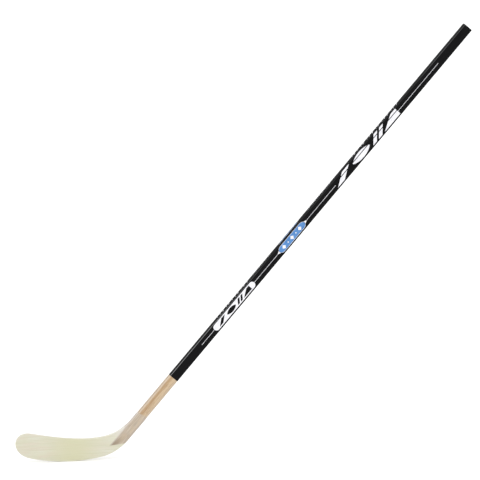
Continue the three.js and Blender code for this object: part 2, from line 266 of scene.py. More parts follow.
toe_top = bezier(TOE, QUARTER_TURN, 20 * MM, TOE_TOP, TOE_TOP_SLOPE, 25 * MM)
blade_top = bezier(TOE_TOP, TOE_TOP_SLOPE, 78 * MM, throat(0.0)[0], THROAT_START, 62 * MM)

# Ribs in the toe, the blade, the heel and the neck. The neck's last ribs carry the sock's feathered end.
TOE_RIBS, BLADE_RIBS, HEEL_RIBS, NECK_RIBS = 22, 56, 56, 14


def edge_points(stretches, side):
    """Points along an edge, each with the direction that leads into the material."""
    points, tangents = zip(*(curve(np.linspace(0, 1, count, endpoint=False)) for curve, count in stretches))
    tangent = np.concatenate(tangents)
    return np.concatenate(points), side * np.stack([-tangent[:, 1], tangent[:, 0]], -1)


bottom_edge = edge_points([(toe_bottom, TOE_RIBS), (rocker, BLADE_RIBS), (heel, HEEL_RIBS)], 1)
top_edge = edge_points([(toe_top, TOE_RIBS), (blade_top, BLADE_RIBS), (throat, HEEL_RIBS)], -1)

# ---------------------------------------------------------------- meshes

WELD = 1e-7  # points nearer than this become one
SMOOTH_BELOW = 35  # degrees between faces


def new_mesh(name, vertices, faces):
    mesh = bpy.data.meshes.new(name)
    mesh.from_pydata([tuple(float(c) for c in vertex) for vertex in vertices], [], faces)
    return mesh


def smooth(mesh, below):
    mesh.shade_smooth()
    mesh.set_sharp_from_angle(angle=math.radians(below))


def new_piece(name, vertices, faces, material, slot, smooth_below=SMOOTH_BELOW, attributes=None):
    """A mesh object from lists of points and faces, welded, with its faces pointing out."""
    mesh = new_mesh(name, vertices, faces)
    for attribute, values in (attributes or {}).items():
        layer = mesh.attributes.new(attribute, "FLOAT", "POINT")
        layer.data.foreach_set("value", np.array(values, np.float32))
    shell = bmesh.new()
    shell.from_mesh(mesh)
    bmesh.ops.remove_doubles(shell, verts=shell.verts, dist=WELD)
    bmesh.ops.dissolve_degenerate(shell, edges=shell.edges, dist=WELD)
    bmesh.ops.recalc_face_normals(shell, faces=shell.faces)
    shell.to_mesh(mesh)
    shell.free()
    smooth(mesh, smooth_below)
    mesh.materials.append(material)
    piece = bpy.data.objects.new(name, mesh)
    bpy.context.scene.collection.objects.link(piece)
    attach(piece, "root")
    return piece


def tube_faces(rings, count, first=0):
    """Quads between rings of count points each."""
    return [
        (first + i * count + j, first + i * count + (j + 1) % count,
         first + (i + 1) * count + (j + 1) % count, first + (i + 1) * count + j)
        for i in range(rings - 1) for j in range(count)
    ]


def boolean(piece, cutter, operation):
    """Cuts or intersects a piece with another object, which is then removed."""
    modifier = piece.modifiers.new("cut", "BOOLEAN")
    modifier.operation = operation
    modifier.solver = "EXACT"
    modifier.object = cutter
    graph = bpy.context.evaluated_depsgraph_get()
    cut = bpy.data.meshes.new_from_object(piece.evaluated_get(graph))
    piece.modifiers.clear()
    piece.data = cut
    smooth(cut, SMOOTH_BELOW)
    bpy.data.objects.remove(cutter)


def shaft_box(start, end, low_y, high_y, half_width):
    """A plain block lined up with the shaft, used only as a cutter."""
    corners = [
        (*on_shaft(along, across), y)
        for along in (start, end) for across in (-half_width, half_width) for y in (low_y, high_y)
    ]
    vertices = [(x, y, z) for x, z, y in corners]
    faces = [(0, 1, 3, 2), (4, 6, 7, 5), (0, 4, 5, 1), (2, 3, 7, 6), (0, 2, 6, 4), (1, 5, 7, 3)]
    mesh = new_mesh("cutter", vertices, faces)
    block = bmesh.new()
    block.from_mesh(mesh)
    bmesh.ops.recalc_face_normals(block, faces=block.faces)
    block.to_mesh(mesh)
    block.free()
    cutter = bpy.data.objects.new("cutter", mesh)
    bpy.context.scene.collection.objects.link(cutter)
    return cutter


CORNER_SEGMENTS = 8


def rounded_rectangle(half_width, half_depth, radius):
    """Points (across, y) round a rectangle with round corners."""
    points = []
    for k, (side_x, side_y) in enumerate(((1, 1), (-1, 1), (-1, -1), (1, -1))):
        for step in range(CORNER_SEGMENTS + 1):
            angle = (k + step / CORNER_SEGMENTS) * QUARTER_TURN
            points.append((
                side_x * (half_width - radius) + radius * math.cos(angle),
                side_y * (half_depth - radius) + radius * math.sin(angle),
            ))
    return points


def shaft_ring(along_at, outset, half_depth):
    """A rounded rectangle round the shaft. along_at gives the height at each place across it."""
    ring = rounded_rectangle(HALF_WIDTH + outset, half_depth + outset, SHAFT_CORNER + outset)
    places = [(*on_shaft(along_at(across), across), y) for across, y in ring]
    return [(x, y, z) for x, z, y in places]


def closed_tube(rings):
    """Vertices and faces of a tube through the rings, closed at both ends."""
    count = len(rings[0])
    vertices = [point for ring in rings for point in ring]
    ends = [tuple(range(count)), tuple(range((len(rings) - 1) * count, len(rings) * count))]
    return vertices, tube_faces(len(rings), count) + ends


# ---------------------------------------------------------------- materials

# A band along a round corner fades in between these two distances, measured inwards from each flat face.
CORNER_BAND = (0.4 * MM, 0.9 * MM)
# the lacquer's painted corner highlight fades in between these distances
HIGHLIGHT_FROM_NARROW = (1.4 * MM, 2.3 * MM)
HIGHLIGHT_FROM_WIDE = (0.05 * MM, 0.25 * MM)


def tone(red, green, blue):
    """A display colour, 0 to 255, as the linear colour that shaders take."""
    shares = (red / 255, green / 255, blue / 255)
    linear = [c / 12.92 if c <= 0.04045 else ((c + 0.055) / 1.055) ** 2.4 for c in shares]
    return (*linear, 1.0)


class Finish:
    """One material's node tree. Each method adds a node and returns its output."""

    def __init__(self, name, **constants):
        self.material = bpy.data.materials.new(name)
        self.material.use_nodes = True
        self.tree = self.material.node_tree
        self.surface = self.tree.nodes["Principled BSDF"]
        for socket, value in constants.items():
            self.surface.inputs[socket.replace("_", " ")].default_value = value

    def add(self, kind, inputs=(), output=0, **settings):
        node = self.tree.nodes.new("ShaderNode" + kind)
        for setting, value in settings.items():
            setattr(node, setting, value)
        for socket, value in dict(inputs).items():
            if isinstance(value, bpy.types.NodeSocket):
                self.tree.links.new(value, node.inputs[socket])
            else:
                node.inputs[socket].default_value = value
        return node.outputs[output]

    def math(self, operation, *values):
        return self.add("Math", enumerate(values), operation=operation)

    def position(self):
        """Coordinates of the stick's own frame."""
        return self.add("TexCoord", output="Object")

    def shaft_position(self):
        """Coordinates along the shaft, across its narrow face, and across its wide face."""
        shifted = self.add("VectorMath", {0: self.position(), 1: (-FOOT[0], 0, 0)}, operation="ADD")
        return self.add("VectorRotate", {"Vector": shifted, "Angle": RISE, "Axis": (0, 1, 0)})

    def parts(self, vector):
        split = self.tree.nodes.new("ShaderNodeSeparateXYZ")
        self.tree.links.new(vector, split.inputs[0])
        return split.outputs

    def stretched(self, vector, x, y, z):
        return self.add("VectorMath", {0: vector, 1: (x, y, z)}, operation="MULTIPLY")

    def noise(self, vector, detail=3.0, roughness=0.55, distortion=0.0):
        inputs = {
            "Vector": vector, "Scale": 1.0,
            "Detail": detail, "Roughness": roughness, "Distortion": distortion,
        }
        return self.add("TexNoise", inputs)

    def step(self, value, low, high):
        """0 below low, 1 above high, and smooth between them."""
        inputs = {"Value": value, "From Min": low, "From Max": high}
        return self.add("MapRange", inputs, interpolation_type="SMOOTHSTEP")

    def fade(self, value, low, high):
        """1 below low, 0 above high, and smooth between them."""
        return self.math("SUBTRACT", 1.0, self.step(value, low, high))

    def product(self, first, *others):
        for other in others:
            first = self.math("MULTIPLY", first, other)
        return first

    def rounding(self, half_width, half_depth, narrow_side=CORNER_BAND, wide_side=CORNER_BAND):
        """1 in a band along each rounded corner of the front face, 0 on the flats and on the back: where the
        painted corner highlights go.
        """
        _, depth, across = self.parts(self.shaft_position())[:3]
        from_narrow = self.math("SUBTRACT", half_width, self.math("ABSOLUTE", across))
        from_wide = self.math("SUBTRACT", half_depth, self.math("ABSOLUTE", depth))
        corner = self.product(self.step(from_narrow, *narrow_side), self.step(from_wide, *wide_side))
        return self.math("MULTIPLY", corner, self.fade(depth, -3 * MM, 0))

    def scaled(self, value, low, high, to_low, to_high):
        inputs = {"Value": value, "From Min": low, "From Max": high, "To Min": to_low, "To Max": to_high}
        return self.add("MapRange", inputs)

    def mix(self, share, first, second, blend="MIX"):
        inputs = {0: share, 6: first, 7: second}
        return self.add("Mix", inputs, output=2, data_type="RGBA", blend_type=blend)

    def finish(self, colour, roughness, height=None, bump_strength=0.3, bump_distance=0.1 * MM):
        self.tree.links.new(colour, self.surface.inputs["Base Color"])
        self.tree.links.new(roughness, self.surface.inputs["Roughness"])
        if height is not None:
            inputs = {"Strength": bump_strength, "Distance": bump_distance, "Height": height}
            self.tree.links.new(self.add("Bump", inputs), self.surface.inputs["Normal"])
        return self.material


def wood_colour(paint, place, pale, middle, dark, shift=0.0):
    """Wood grain with its fibres along X. Returns the colour and the height of the fibres."""
    moved = paint.add("VectorMath", {0: place, 1: (shift, shift, shift)}, operation="ADD")
    bands = paint.noise(paint.stretched(moved, 2.5, 130, 110), detail=2.0, distortion=0.4)
    fibres = paint.noise(paint.stretched(moved, 22, 900, 800), detail=4.0)
    pores = paint.noise(paint.stretched(moved, 90, 2600, 2200), detail=1.0)
    figure = paint.noise(paint.stretched(moved, 34, 210, 180), detail=3.0, distortion=0.6)
    grain = paint.mix(paint.step(bands, 0.36, 0.66), pale, middle)
    grain = paint.mix(paint.product(paint.step(figure, 0.52, 0.66), 0.4), grain, dark)
    grain = paint.mix(paint.product(paint.fade(figure, 0.34, 0.48), 0.5), grain, pale)
    grain = paint.mix(paint.product(paint.step(fibres, 0.46, 0.7), 0.65), grain, dark)
    grain = paint.mix(paint.product(paint.step(pores, 0.66, 0.74), 0.45), grain, dark)
    return grain, fibres


def wetted(paint, place, grain, wet):
    """Wood is darker below the end of the glass, where it has soaked up resin."""
    along, _, across = paint.parts(place)[:3]
    edge = paint.math("MULTIPLY_ADD", across, GLASS_END_SLOPE, along)
    return paint.mix(paint.fade(edge, GLASS_END - 2 * MM, GLASS_END + 1 * MM), grain, wet, "MULTIPLY")


def ply_wood(name, pale, middle, dark, shift):
    """A ply of the shaft, with thin dark glue lines at its joints and a painted highlight along the front
    corners.
    """
    paint = Finish(name, Specular_IOR_Level=0.3)
    place = paint.shaft_position()
    grain, fibres = wood_colour(paint, place, pale, middle, dark, shift)
    depth = paint.parts(place)[1]
    from_joint = paint.math("PINGPONG", paint.math("ADD", depth, CORE_PLY / 2), CORE_PLY / 2)
    glue = paint.product(paint.fade(from_joint, 0.05 * MM, 0.22 * MM), 0.8)
    grain = paint.mix(glue, grain, tone(120, 84, 52), "MULTIPLY")
    # painted highlight: a paler band along the rounded corners of the front face, where the light catches
    # them
    corner = paint.product(paint.rounding(HALF_WIDTH, HALF_DEPTH), 0.8)
    grain = paint.mix(corner, grain, tone(216, 203, 188))
    grain = wetted(paint, place, grain, tone(176, 150, 130))
    return paint.finish(grain, paint.scaled(fibres, 0.3, 0.7, 0.45, 0.62), fibres, 0.25, 0.08 * MM)


def facing_wood():
    """Golden wood under clear glass: a rusty band beside the middle, greyer towards the heel side, and a
    painted highlight towards the throat-side edge.
    """
    paint = Finish("glass_facing", Specular_IOR_Level=0.3, Coat_Weight=0.3, Coat_Roughness=0.22)
    place = paint.shaft_position()
    woods = tone(205, 181, 148), tone(192, 163, 125), tone(155, 122, 88)
    grain, fibres = wood_colour(paint, place, *woods, 0.71)
    along, _, across = paint.parts(place)[:3]
    wander = paint.scaled(paint.noise(paint.stretched(place, 16, 90, 90)), 0.3, 0.7, -3 * MM, 3 * MM)
    strayed = paint.math("ADD", across, wander)
    rust = paint.product(paint.step(strayed, 1 * MM, 5 * MM), paint.fade(strayed, 7 * MM, 11 * MM))
    knots = paint.noise(paint.stretched(place, 45, 420, 420), detail=3.0)
    low_on_shaft = paint.scaled(along, GLASS_END, COAT_END, 1.1, 0.5)
    rust = paint.product(rust, paint.scaled(knots, 0.35, 0.65, 0.1, 0.85), low_on_shaft)
    grain = paint.mix(rust, grain, tone(158, 122, 88))
    grain = paint.mix(paint.product(paint.fade(across, -11 * MM, -4 * MM), 0.6), grain, tone(195, 180, 158))
    # painted highlight: paler towards the rounded corner on the throat side, where the light falls
    shoulder_highlight = paint.product(paint.step(across, 8.5 * MM, 11.5 * MM), 0.5)
    grain = paint.mix(shoulder_highlight, grain, tone(211, 195, 177))
    grain = wetted(paint, place, grain, tone(196, 180, 168))
    return paint.finish(grain, paint.scaled(fibres, 0.3, 0.7, 0.3, 0.45), fibres, 0.25, 0.08 * MM)


def ash_material():
    paint = Finish("ash_plank", Specular_IOR_Level=0.35)
    place = paint.position()
    grain, fibres = wood_colour(paint, place, tone(228, 208, 172), tone(212, 188, 148), tone(176, 146, 106))
    return paint.finish(grain, paint.scaled(fibres, 0.3, 0.7, 0.45, 0.65), fibres, 0.25, 0.08 * MM)


def weave_height(paint, place, pitch):
    """Two crossing sets of glass strands."""
    x, _, z = paint.parts(place)[:3]
    turns = 2 * math.pi / pitch
    warp = paint.math("SINE", paint.math("MULTIPLY", paint.math("ADD", x, z), turns))
    weft = paint.math("SINE", paint.math("MULTIPLY", paint.math("SUBTRACT", x, z), turns))
    return paint.math("MAXIMUM", warp, weft)


def cloth_material():
    paint = Finish("glass_cloth", Specular_IOR_Level=0.4)
    place = paint.position()
    strands = weave_height(paint, place, 1.4 * MM)
    mottle = paint.noise(paint.stretched(place, 90, 90, 90))
    colour = paint.mix(paint.step(strands, 0.0, 1.0), tone(206, 208, 192), tone(236, 238, 228))
    colour = paint.mix(paint.step(mottle, 0.4, 0.7), colour, tone(222, 222, 200))
    return paint.finish(colour, paint.scaled(mottle, 0.3, 0.7, 0.3, 0.5), strands, 0.3, 0.08 * MM)


def blade_skin(paint, place):
    """Pale resin over the plank: faint lengthwise streaks, yellower in the middle of the blade."""
    x = paint.parts(place)[0]
    streaks = paint.noise(paint.stretched(place, 9, 60, 420), detail=4.0, distortion=0.3)
    mottle = paint.noise(paint.stretched(place, 26, 26, 40), detail=3.0)
    colour = paint.mix(paint.step(streaks, 0.4, 0.62), tone(213, 211, 193), tone(203, 200, 176))
    colour = paint.mix(paint.product(paint.step(mottle, 0.42, 0.66), 0.5), colour, tone(209, 206, 180))
    blush = paint.noise(paint.stretched(place, 13, 40, 75), detail=2.0)
    colour = paint.mix(paint.product(paint.step(blush, 0.5, 0.68), 0.5), colour, tone(211, 200, 181))
    from_middle = paint.math("ABSOLUTE", paint.math("SUBTRACT", x, 12 * MM))
    drift = paint.math("MULTIPLY_ADD", mottle, 30 * MM, from_middle)
    yellow = paint.product(paint.fade(drift, 20 * MM, 110 * MM), 0.75)
    colour = paint.mix(yellow, colour, tone(202, 200, 163))
    return colour, streaks, mottle


def cheek_skin(paint, place):
    """The colour of the cheeks under the glass, darkest at their tip, and the height above their cut."""
    along, _, across = paint.parts(place)[:3]
    fibres = paint.noise(paint.stretched(place, 16, 300, 330), detail=4.0)
    patches = paint.noise(paint.stretched(place, 36, 90, 100), detail=3.0)
    colour = paint.mix(paint.step(fibres, 0.4, 0.62), tone(194, 179, 160), tone(170, 153, 133))
    colour = paint.mix(paint.product(paint.step(patches, 0.47, 0.6), 0.7), colour, tone(190, 170, 143))
    heel_side = paint.product(paint.fade(across, -12 * MM, -7 * MM), 0.5)
    colour = paint.mix(heel_side, colour, tone(171, 156, 143))
    above = paint.math("SUBTRACT", paint.math("MULTIPLY_ADD", across, CHEEK_CUT_SLOPE, along), CHEEK_CUT)
    tip = paint.product(paint.fade(above, 6 * MM, 38 * MM), paint.step(across, -9 * MM, 9 * MM), 0.9)
    return paint.mix(tip, colour, tone(143, 125, 104)), above


def cheeks_shown(paint, along, across, above):
    """1 where the shaft's cheeks show through the glass. Up the neck they fill its whole width."""
    spread = 9 * MM
    past_throat = paint.math("MULTIPLY", paint.step(along, 98 * MM, 130 * MM), spread)
    throat_side = paint.math("SUBTRACT", across, past_throat)
    past_heel = paint.math("MULTIPLY", paint.step(along, 68 * MM, 92 * MM), spread)
    heel_side = paint.math("ADD", across, past_heel)
    return paint.product(
        paint.step(above, -2 * MM, 2 * MM),
        paint.fade(throat_side, HALF_WIDTH - 1 * MM, HALF_WIDTH + 3.5 * MM),
        paint.step(heel_side, -HALF_WIDTH - 0.5 * MM, -HALF_WIDTH + 1.5 * MM),
    )


def sock_material():
    """Woven glass in pale resin, with the shaft's cheeks and narrow faces showing through, and painted shade
    towards the back of the throat-side edge.
    """
    paint = Finish("glass_sock", Specular_IOR_Level=0.35, Coat_Weight=0.25, Coat_Roughness=0.18, IOR=1.5)
    place = paint.position()
    place_on_shaft = paint.shaft_position()
    along, depth, across = paint.parts(place_on_shaft)[:3]
    blade, streaks, mottle = blade_skin(paint, place)
    cheek, above = cheek_skin(paint, place_on_shaft)

    web = paint.product(paint.step(along, 60 * MM, 96 * MM), paint.step(across, 6 * MM, 14 * MM), 0.9)
    blade = paint.mix(web, blade, tone(212, 206, 198))
    shown = cheeks_shown(paint, along, across, above)
    colour = paint.mix(shown, blade, cheek)
    narrow_face = paint.product(paint.step(across, HALF_WIDTH - 2 * MM, HALF_WIDTH), shown, 0.55)
    colour = paint.mix(narrow_face, colour, tone(203, 194, 187))
    # painted shade: the throat-side edge darkens towards the back, away from the light
    towards_back = paint.step(depth, 1 * MM, 9 * MM)
    back_corner_shade = paint.product(towards_back, shown, paint.step(across, 9 * MM, 13 * MM), 0.7)
    colour = paint.mix(back_corner_shade, colour, tone(168, 156, 150))

    near_edge = paint.add("Attribute", output="Fac", attribute_name="rim")
    rim = paint.product(near_edge, paint.fade(shown, 0, 1), 0.55)
    colour = paint.mix(rim, colour, tone(219, 218, 206))

    strands = weave_height(paint, place, 1.9 * MM)
    colour = paint.mix(paint.product(paint.step(strands, 0.2, 1.0), 0.12), colour, tone(228, 228, 218))
    height = paint.math("MULTIPLY_ADD", strands, 0.35, streaks)
    return paint.finish(colour, paint.scaled(mottle, 0.3, 0.7, 0.28, 0.46), height, 0.22, 0.1 * MM)


def lacquer_material():
    """Satin black lacquer with fine scuffs, and a painted grey highlight along the throat-side front corner,
    strongest near the blade.
    """
    paint = Finish("black_lacquer", Specular_IOR_Level=0.05)
    place = paint.shaft_position()
    along, _, across = paint.parts(place)[:3]
    scuffs = paint.noise(paint.stretched(place, 30, 500, 700), detail=5.0, roughness=0.65)
    colour = paint.mix(paint.step(scuffs, 0.5, 0.78), tone(19, 19, 20), tone(36, 36, 37))
    patches = paint.noise(paint.stretched(place, 9, 20, 20), detail=2.0)
    # painted highlight: a grey line along the throat-side front corner, strong near the blade and fainter
    # near the butt
    near_blade = paint.fade(along, 440 * MM, 760 * MM)
    near_butt = paint.math("MULTIPLY", paint.step(along, 1330 * MM, 1500 * MM), 0.3)
    painted_corner_highlight = paint.math("ADD", paint.math("MAXIMUM", near_blade, near_butt), 0.12)
    corner = paint.rounding(COAT_WIDTH, COAT_DEPTH, HIGHLIGHT_FROM_NARROW, HIGHLIGHT_FROM_WIDE)
    throat_side = paint.step(across, 0, 5 * MM)
    painted_corner_highlight = paint.product(painted_corner_highlight, corner, throat_side, paint.scaled(patches, 0.3, 0.7, 0.55, 1.0), 0.8)
    colour = paint.mix(painted_corner_highlight, colour, tone(160, 160, 161))
    peel = paint.noise(paint.stretched(place, 260, 500, 500), detail=1.0)
    return paint.finish(colour, paint.scaled(scuffs, 0.3, 0.75, 0.3, 0.48), peel, 0.12, 0.05 * MM)


def ink_material(name, full, thin):
    """Printed ink with faint mottling and fine dark specks."""
    paint = Finish(name, Specular_IOR_Level=0.3)
    place = paint.shaft_position()
    mottle = paint.noise(paint.stretched(place, 60, 140, 140), detail=4.0)
    specks = paint.noise(paint.stretched(place, 700, 900, 900), detail=2.0)
    colour = paint.mix(paint.step(mottle, 0.38, 0.72), full, thin)
    speckle = paint.math("MULTIPLY", paint.step(specks, 0.68, 0.76), 0.35)
    colour = paint.mix(speckle, colour, tone(40, 40, 42))
    return paint.finish(colour, paint.scaled(mottle, 0.3, 0.7, 0.3, 0.45), specks, 0.08, 0.03 * MM)


LACQUER = lacquer_material()
WHITE_INK = ink_material("white_ink", tone(244, 244, 248), tone(232, 232, 238))
BLUE_INK = ink_material("blue_ink", tone(93, 144, 204), tone(78, 129, 190))
ASPEN = ply_wood("aspen_ply", tone(204, 190, 171), tone(192, 174, 151), tone(162, 140, 112), 0.0)
OUTER_ASPEN = ply_wood(
    "outer_aspen_ply", tone(176, 158, 138), tone(162, 140, 118), tone(130, 104, 80), 0.53
)
BIRCH = ply_wood("birch_ply", tone(198, 178, 152), tone(184, 160, 130), tone(154, 126, 95), 0.37)
FACING = facing_wood()
ASH = ash_material()
CLOTH_FINISH = cloth_material()
SOCK_FINISH = sock_material()

# ---------------------------------------------------------------- shaft

ROUNDING_STEPS = 6
BUTT_ROUNDING = 1.6 * BUTT_CHAMFER  # radius, where the CAD has a chamfer


def butt_rings(outset):
    """Rings that round off the shaft's end."""
    radius = BUTT_ROUNDING - (COAT + COAT_GAP - outset)
    rings = []
    for step in range(ROUNDING_STEPS + 1):
        angle = QUARTER_TURN * step / ROUNDING_STEPS
        along = WOOD_END + outset - radius * (1 - math.sin(angle))
        rings.append(shaft_ring(lambda across: along, outset - radius * (1 - math.cos(angle)), HALF_DEPTH))
    return rings


def cheek_end(across):
    return CHEEK_CUT - CHEEK_CUT_SLOPE * across


def wood_form():
    """The whole shaft's wood, sanded down to the cheeks' feathered end."""
    foot = shaft_ring(cheek_end, 0, CHEEK_TIP)
    full = shaft_ring(lambda across: cheek_end(across) + CHEEK_TAPER, 0, HALF_DEPTH)
    return closed_tube([foot, full, *butt_rings(0)])


def shaft_layer(name, low_y, high_y, start, material, slot, node):
    """The slice of the shaft's wood between two depths, from one height to the butt."""
    piece = new_piece(name, *wood_form(), material, slot)
    cutter = shaft_box(start, SHAFT_END + HALF_WIDTH, low_y, high_y, 2 * HALF_WIDTH)
    boolean(piece, cutter, "INTERSECT")
    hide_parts(node)


def lay_up_shaft():
    core_half = CORE_PLIES * CORE_PLY / 2
    for ply in range(1, CORE_PLIES + 1):
        low_y = (ply - 1) * CORE_PLY - core_half
        start = SLOT_ROOT if ply in SLOT_PLIES else -HALF_WIDTH
        wood = OUTER_ASPEN if ply in (1, CORE_PLIES) else ASPEN
        name = f"core_ply_{ply}"
        shaft_layer(name, low_y, low_y + CORE_PLY, start, wood, "aspen", f"shaft_{name}")
    birch_half = core_half + BIRCH_PLY
    past_the_face = HALF_DEPTH + MM
    for side, word in ((-1, "front"), (1, "back")):
        for layer, near, far, material, slot in (
            ("birch_ply", core_half, birch_half, BIRCH, "birch"),
            ("glass_facing", birch_half, past_the_face, FACING, "glass_facing"),
        ):
            name = f"{layer}_{word}"
            low_y, high_y = sorted((side * near, side * far))
            shaft_layer(name, low_y, high_y, -HALF_WIDTH, material, slot, f"shaft_{name}")


def lacquer_coat():
    """A thin tube closed at the butt."""
    outer = [shaft_ring(lambda across: COAT_END, COAT + COAT_GAP, HALF_DEPTH), *butt_rings(COAT + COAT_GAP)]
    inner = [shaft_ring(lambda across: 0, COAT_GAP, HALF_DEPTH), *butt_rings(COAT_GAP)]
    coat = new_piece("lacquer_coat", *closed_tube(outer), LACQUER, "black_lacquer")
    hollow = new_piece("coat_hollow", *closed_tube(inner), LACQUER, "black_lacquer")
    boolean(coat, hollow, "DIFFERENCE")
    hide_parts("black_lacquer_coat")


lay_up_shaft()
lacquer_coat()

# ---------------------------------------------------------------- blade

EDGE_STEPS = 5  # round an edge of the sock
ACROSS_STEPS = 34  # across a face of the sock
CLOTH_STEPS = 24
STRIP_STEPS = 6
FIRST_INNER_RIB = 2  # nearer the toe a rib is too short for the layers inside the sock
FEATHERED = 0.92  # share of the sock's thickness that is lost at its end
LEAST_EDGE = 0.2 * MM  # smallest radius of the sock's edges
RIM_FADE = 1.5 * MM  # over this distance from its edge the sock's paler rim fades to about a third


def neck_edges():
    """Edge points up the neck, and how much of the glass is left there: it feathers out at its end."""
    neck = GLASS_END - THROAT_TOP
    lows, highs, left = [], [], []
    for share in np.linspace(0, 1, NECK_RIBS):
        remaining = 1 - FEATHERED * smoothstep((share * neck - (neck - GLASS_FEATHER)) / GLASS_FEATHER)
        reach = HALF_WIDTH + (OUTSIDE - HALF_WIDTH) * remaining
        for side, out in ((-1, lows), (1, highs)):
            end = GLASS_END - GLASS_END_SLOPE * side * HALF_WIDTH
            out.append(on_shaft(lerp(THROAT_TOP, end, share), side * reach))
        left.append(remaining)
    return np.array(lows), np.array(highs), np.array(left)


# The two ends of each rib, the directions that lead in from them, and how much of the glass is left.
neck_low, neck_high, neck_left = neck_edges()
LOW = np.concatenate([bottom_edge[0], neck_low])
HIGH = np.concatenate([top_edge[0], neck_high])
LOW_IN = np.concatenate([bottom_edge[1], np.broadcast_to(TO_THROAT, neck_low.shape)])
HIGH_IN = np.concatenate([top_edge[1], np.broadcast_to(-TO_THROAT, neck_high.shape)])
GLASS_LEFT = np.concatenate([np.ones(len(bottom_edge[0])), neck_left])
NECK_FIRST = len(bottom_edge[0])


def blade_point(place, y):
    return (place[0], bend(place[0]) + y, place[1])


def sock_ring(i, layers, inset):
    """One ring of the sock's outer or inner surface, and how near each point is to the blade's edge."""
    half_at = lambda place: wood_half(place) + GLASS_LEFT[i] * layers
    outer_half = lambda place: wood_half(place) + GLASS_LEFT[i] * SOCK_OUT
    edge = GLASS_LEFT[i] * inset
    ends = []
    for start, inward in ((LOW[i], LOW_IN[i]), (HIGH[i], HIGH_IN[i])):
        radius = max(SOCK_EDGE * outer_half(start) - edge, LEAST_EDGE)
        inner = start + inward * (edge + radius)
        half = half_at(inner)
        corner = []
        for k in range(EDGE_STEPS + 1):
            angle = QUARTER_TURN * k / EDGE_STEPS
            distance = edge + radius * (1 - math.sin(angle))
            corner.append((start + inward * distance, half - radius * (1 - math.cos(angle)), distance))
        ends.append((inner, corner))
    (low_inner, low_corner), (high_inner, high_corner) = ends
    length = np.linalg.norm(high_inner - low_inner)
    face = []
    for j in range(1, ACROSS_STEPS):
        place = lerp(low_inner, high_inner, j / ACROSS_STEPS)
        near_edge = edge + low_corner[0][2] + min(j, ACROSS_STEPS - j) / ACROSS_STEPS * length
        face.append((place, half_at(place), near_edge))
    back = [*reversed(low_corner), *face, *high_corner]
    front = [*reversed(high_corner), *reversed(face), *low_corner]
    points = [blade_point(place, y) for place, y, _ in back]
    points += [blade_point(place, -y) for place, y, _ in front]
    nearness = [math.exp(-distance / RIM_FADE) for _, _, distance in back + front]
    return points, nearness


def glass_sock():
    """A closed skin with an outer and an inner surface, joined round its end on the neck."""
    vertices, nearness, faces = [], [], []
    for layers, inset in ((SOCK_OUT, 0.0), (SOCK_IN, SOCK)):
        rings = [sock_ring(i, layers, inset) for i in range(len(LOW))]
        count = len(rings[0][0])
        faces += tube_faces(len(rings), count, len(vertices))
        for points, near in rings:
            vertices += points
            nearness += near
    half = len(vertices) // 2
    for j in range(count):
        k = (j + 1) % count
        faces.append((half - count + j, half - count + k, 2 * half - count + k, 2 * half - count + j))
    sock = new_piece("glass_sock", vertices, faces, SOCK_FINISH, "glass_sock", attributes={"rim": nearness})
    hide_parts("blade_glass_sock")


def slab(name, reach, columns, near, far, material, slot):
    """A layer of the blade between two depths. Reach gives the layer's two ends on a rib."""
    rings = []
    for i in range(FIRST_INNER_RIB, NECK_FIRST + 1):
        low, high = reach(i)
        places = [lerp(low, high, k / columns) for k in range(columns + 1)]
        rings.append(
            [blade_point(place, near(place)) for place in reversed(places)]
            + [blade_point(place, far(place)) for place in places]
        )
    return new_piece(name, *closed_tube(rings), material, slot)


def glass_cloth(side, word):
    near = lambda place: side * (wood_half(place) + LAYER_GAP)
    far = lambda place: side * (wood_half(place) + LAYER_GAP + CLOTH)

    def reach(i):
        return [
            edge + inward * (SOCK_EDGE * (wood_half(edge) + SOCK_OUT) + 2 * LAYER_GAP)
            for edge, inward in ((LOW[i], LOW_IN[i]), (HIGH[i], HIGH_IN[i]))
        ]

    cloth = slab(f"glass_cloth_{word}", reach, CLOTH_STEPS, near, far, CLOTH_FINISH, "glass_cloth")
    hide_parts(f"blade_glass_cloth_{word}")


def plank_strip(word, from_share, to_share):
    """A strip of the plank, with its part of the tongue that ends at the slot's root."""
    inset = SOCK + 4 * LAYER_GAP
    gap = LAYER_GAP / 2

    def reach(i):
        low, high = LOW[i] + LOW_IN[i] * inset, HIGH[i] + HIGH_IN[i] * inset
        rib = (high - low) / np.linalg.norm(high - low)
        start = lerp(low, high, from_share) + rib * (gap if from_share > 0 else 0)
        end = lerp(low, high, to_share) - rib * (gap if to_share < 1 else 0)
        return start, end

    strip = slab(
        f"plank_{word}_strip", reach, STRIP_STEPS,
        lambda place: -plank_half(place), plank_half, ASH, "ash",
    )
    root = SLOT_ROOT - LAYER_GAP
    above_root = shaft_box(root, root + 2 * HALF_WIDTH, -HALF_WIDTH, HALF_WIDTH, 2 * HALF_WIDTH)
    boolean(strip, above_root, "DIFFERENCE")
    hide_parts(f"blade_plank_{word}_strip")


glass_sock()
glass_cloth(-1, "front")
glass_cloth(1, "back")
for strip_word, strip_from, strip_to in zip(("bottom", "middle", "top"), STRIP_JOINTS, STRIP_JOINTS[1:]):
    plank_strip(strip_word, strip_from, strip_to)

# ---------------------------------------------------------------- printed marks

# A printed mark is a list of outlines. Their points are the distance down the shaft from the butt, and the
# distance across the face. Wedges, slashes, lenses and diamonds are drawn from 0 to 1 down the shaft and from
# -1 to 1 across the face, and then placed.

INK = 0.04 * MM  # thickness of one layer of print
INK_SUNK = 0.01 * MM
CURVE_STEPS = 14

